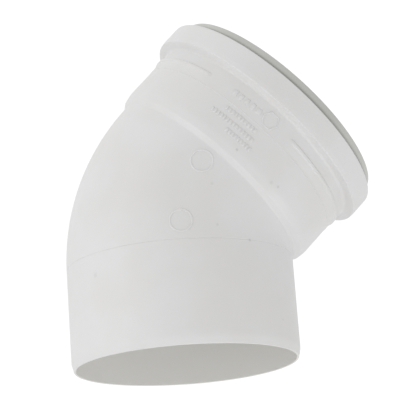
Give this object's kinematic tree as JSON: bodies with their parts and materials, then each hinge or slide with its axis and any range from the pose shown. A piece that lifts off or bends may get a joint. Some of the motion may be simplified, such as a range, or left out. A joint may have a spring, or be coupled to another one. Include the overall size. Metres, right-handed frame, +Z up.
{
  "type": "pvc conduit elbow",
  "caption": "White moulded plastic pipe elbow turning 45 degrees, with a plain spigot end and a belled push-fit socket that holds a rubber lip seal.",
  "frame": {"origin": "centre of the spigot's mouth, on the spigot's axis, in the plane of its end face", "axes": "+Z runs up the spigot's axis into the bend, the bend turns towards +X, and the part is symmetric about the plane Y = 0"},
  "size_m": [0.1389, 0.117, 0.1557],
  "materials": {
    "white_pvc": "satin",
    "retainer_pvc": "satin",
    "seal_rubber": "matte"
  },
  "bodies": {
    "root": {"elbow_body": "white_pvc", "seal_retainer": "retainer_pvc", "seal_ring": "seal_rubber"}
  },
  "joints": []
}
